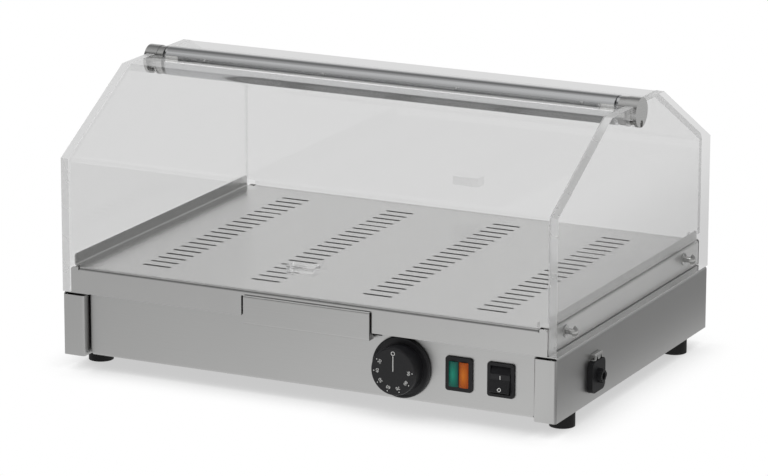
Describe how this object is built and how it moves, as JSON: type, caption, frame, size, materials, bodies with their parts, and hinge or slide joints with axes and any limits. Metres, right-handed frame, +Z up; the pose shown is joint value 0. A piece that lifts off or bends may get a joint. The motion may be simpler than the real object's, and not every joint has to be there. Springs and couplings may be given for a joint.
{
  "type": "heated countertop display case",
  "caption": "Countertop heated display case: folded stainless base with slotted deck, water drawer and controls under a clear hood with two flaps on one hinge tube.",
  "frame": {"origin": "on the worktop, midway between the four rubber feet", "axes": "+X to the user's right along the case, +Y to the rear, +Z up; the controls face -Y"},
  "size_m": [0.5235, 0.39, 0.2802],
  "materials": {
    "brushed_steel": "brushed along its length",
    "bright_steel": "semi-bright rolled sheet",
    "polished_aluminium": "polished extrusion",
    "satin_nickel": "satin nickel plate",
    "clear_acrylic": "clear cast acrylic sheet, flame polished edges",
    "black_plastic": "moulded, slightly glossy",
    "black_matt": "moulded, matt",
    "green_lens": "translucent lamp lens",
    "orange_lens": "translucent lamp lens",
    "rubber": "matt moulded rubber",
    "zinc_steel": "bright zinc plate",
    "heater_sheath": "heat-tinted steel sheath",
    "ceramic": null,
    "copper": "bare copper tube"
  },
  "bodies": {
    "case": {"bottom_plate": "bright_steel", "side_panel_left": "brushed_steel", "side_panel_right": "brushed_steel", "front_panel": "brushed_steel", "rear_panel": "brushed_steel", "foot_front_left": "rubber", "foot_front_right": "rubber", "foot_rear_left": "rubber", "foot_rear_right": "rubber", "foot_screws": "zinc_steel", "deck": "bright_steel", "glass_bracket_left": "bright_steel", "glass_bracket_right": "bright_steel", "heat_shield": "bright_steel", "heating_element": "heater_sheath", "heater_terminals": "ceramic", "heater_clips": "bright_steel", "thermostat_body": "zinc_steel", "thermostat_bulb": "copper", "lamp_bezel": "black_matt", "lamp_lens_green": "green_lens", "lamp_lens_orange": "orange_lens", "switch_housing": "black_matt", "drawer_runners": "bright_steel", "cable_gland": "black_matt", "gland_clamp": "zinc_steel", "terminal_block": "ceramic", "side_glass_left": "clear_acrylic", "side_glass_right": "clear_acrylic", "glass_screws": "zinc_steel", "glass_spacers": "black_matt", "glass_nuts": "zinc_steel", "end_cap_left": "satin_nickel", "end_cap_right": "satin_nickel", "end_cap_screws": "zinc_steel"},
    "front_flap_body": {"front_flap": "clear_acrylic", "front_handle": "clear_acrylic", "upper_rail": "polished_aluminium", "lower_rail": "polished_aluminium", "rail_bolts": "zinc_steel", "hinge_pins": "zinc_steel"},
    "rear_flap_body": {"rear_flap": "clear_acrylic", "rear_handle": "clear_acrylic", "rear_hinge_plates": "polished_aluminium"},
    "thermostat_dial": {"thermostat_knob": "black_plastic", "thermostat_spindle": "zinc_steel"},
    "power_switch": {"switch_rocker": "black_plastic"},
    "water_drawer": {"water_drawer_tray": "bright_steel", "water_drawer_front": "brushed_steel"}
  },
  "joints": [
    {"name": "front_flap_hinge", "type": "hinge", "parent": "case", "child": "front_flap_body", "pos_m": [0, 0, 0.2705], "axis": [-1, 0, 0], "range_deg": [0, 75]},
    {"name": "rear_flap_hinge", "type": "hinge", "parent": "case", "child": "rear_flap_body", "pos_m": [0, 0, 0.2705], "axis": [1, 0, 0], "range_deg": [0, 75]},
    {"name": "thermostat_turn", "type": "hinge", "parent": "case", "child": "thermostat_dial", "pos_m": [0.0974, -0.171, 0.0465], "axis": [0, 1, 0], "range_deg": [0, 270]},
    {"name": "power_switch_tilt", "type": "hinge", "parent": "case", "child": "power_switch", "pos_m": [0.197, -0.17, 0.047], "axis": [1, 0, 0], "range_deg": [0, 18]},
    {"name": "water_drawer_slide", "type": "slide", "parent": "case", "child": "water_drawer", "axis": [0, -1, 0], "range_m": [0, 0.15]}
  ]
}
